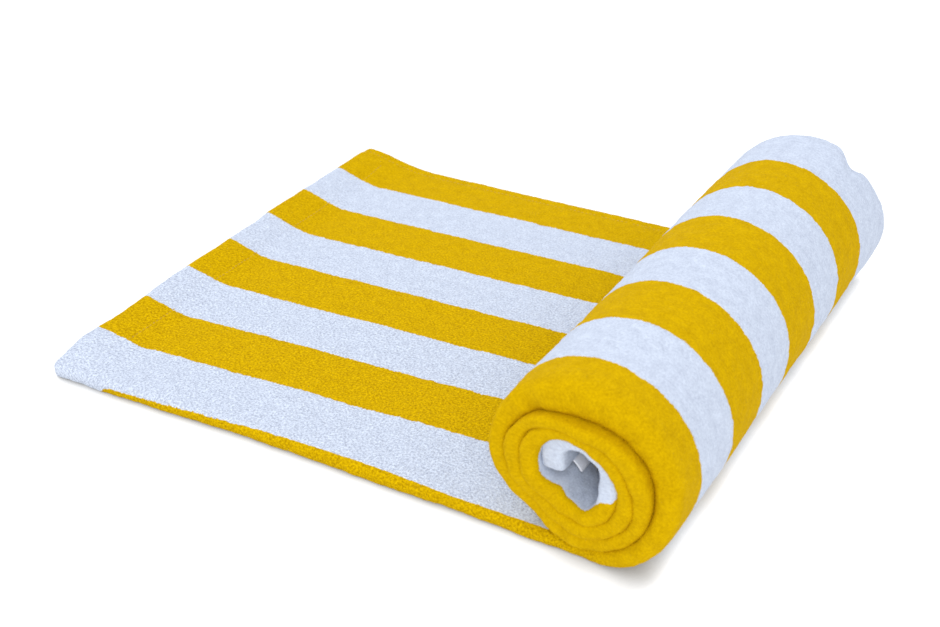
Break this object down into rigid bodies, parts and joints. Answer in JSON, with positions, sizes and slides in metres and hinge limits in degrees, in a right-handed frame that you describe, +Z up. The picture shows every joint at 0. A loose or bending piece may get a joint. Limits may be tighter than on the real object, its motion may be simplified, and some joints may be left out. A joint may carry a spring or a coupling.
{
  "type": "towel",
  "caption": "Striped terry towel, folded in half lengthwise and partly rolled up from one end, with stitched hems and a care label; it rolls up the rest of the way.",
  "frame": {"origin": "on the surface that the towel lies on, under the middle of its overall length and width", "axes": "+X from the free end towards the roll, +Y from the lengthwise fold to the open long edge, +Z up"},
  "size_m": [0.4486, 0.381, 0.117],
  "materials": {
    "terry": "looped cotton terry pile, golden yellow and bluish white stripes, matte",
    "thread": "white spun polyester sewing thread, slightly shiny",
    "label": "white woven ribbon, satin"
  },
  "bodies": {
    "free_end": {"free_end_cloth": "terry", "free_end_side_thread": "thread", "free_end_hem_thread": "thread"},
    "panel_01": {"cloth_panel_01": "terry", "side_thread_01": "thread"},
    "panel_02": {"cloth_panel_02": "terry", "side_thread_02": "thread"},
    "panel_03": {"cloth_panel_03": "terry", "side_thread_03": "thread"},
    "panel_04": {"cloth_panel_04": "terry", "side_thread_04": "thread"},
    "panel_05": {"cloth_panel_05": "terry", "side_thread_05": "thread"},
    "panel_06": {"cloth_panel_06": "terry", "side_thread_06": "thread"},
    "panel_07": {"cloth_panel_07": "terry", "side_thread_07": "thread"},
    "panel_08": {"cloth_panel_08": "terry", "side_thread_08": "thread"},
    "panel_09": {"cloth_panel_09": "terry", "side_thread_09": "thread"},
    "panel_10": {"cloth_panel_10": "terry", "side_thread_10": "thread"},
    "roll": {"rolled_cloth": "terry", "rolled_side_thread": "thread", "inner_end_hem_thread": "thread", "care_label_base": "label", "label_stitching": "thread"},
    "label": {"care_label_flap": "label"}
  },
  "joints": [
    {"name": "bend_01", "type": "hinge", "parent": "free_end", "child": "panel_01", "pos_m": [-0.13035, 0, 0.0048], "axis": [0, -1, 0], "range_deg": [0, 25]},
    {"name": "bend_02", "type": "hinge", "parent": "panel_01", "child": "panel_02", "pos_m": [-0.10215, 0, 0.0048], "axis": [0, -1, 0], "range_deg": [0, 25]},
    {"name": "bend_03", "type": "hinge", "parent": "panel_02", "child": "panel_03", "pos_m": [-0.07395, 0, 0.0048], "axis": [0, -1, 0], "range_deg": [0, 25]},
    {"name": "bend_04", "type": "hinge", "parent": "panel_03", "child": "panel_04", "pos_m": [-0.04575, 0, 0.0048], "axis": [0, -1, 0], "range_deg": [0, 25]},
    {"name": "bend_05", "type": "hinge", "parent": "panel_04", "child": "panel_05", "pos_m": [-0.01755, 0, 0.0048], "axis": [0, -1, 0], "range_deg": [0, 25]},
    {"name": "bend_06", "type": "hinge", "parent": "panel_05", "child": "panel_06", "pos_m": [0.01065, 0, 0.0048], "axis": [0, -1, 0], "range_deg": [0, 27]},
    {"name": "bend_07", "type": "hinge", "parent": "panel_06", "child": "panel_07", "pos_m": [0.03885, 0, 0.0048], "axis": [0, -1, 0], "range_deg": [0, 27]},
    {"name": "bend_08", "type": "hinge", "parent": "panel_07", "child": "panel_08", "pos_m": [0.06705, 0, 0.0048], "axis": [0, -1, 0], "range_deg": [0, 27]},
    {"name": "bend_09", "type": "hinge", "parent": "panel_08", "child": "panel_09", "pos_m": [0.09525, 0, 0.0048], "axis": [0, -1, 0], "range_deg": [0, 27]},
    {"name": "bend_10", "type": "hinge", "parent": "panel_09", "child": "panel_10", "pos_m": [0.12345, 0, 0.0048], "axis": [0, -1, 0], "range_deg": [0, 27]},
    {"name": "bend_11", "type": "hinge", "parent": "panel_10", "child": "roll", "pos_m": [0.15165, 0, 0.0048], "axis": [0, -1, 0], "range_deg": [0, 27]},
    {"name": "label_flap", "type": "hinge", "parent": "roll", "child": "label", "pos_m": [0.15695, 0, 0.0598], "axis": [0, -1, 0], "range_deg": [-25, 40]}
  ]
}
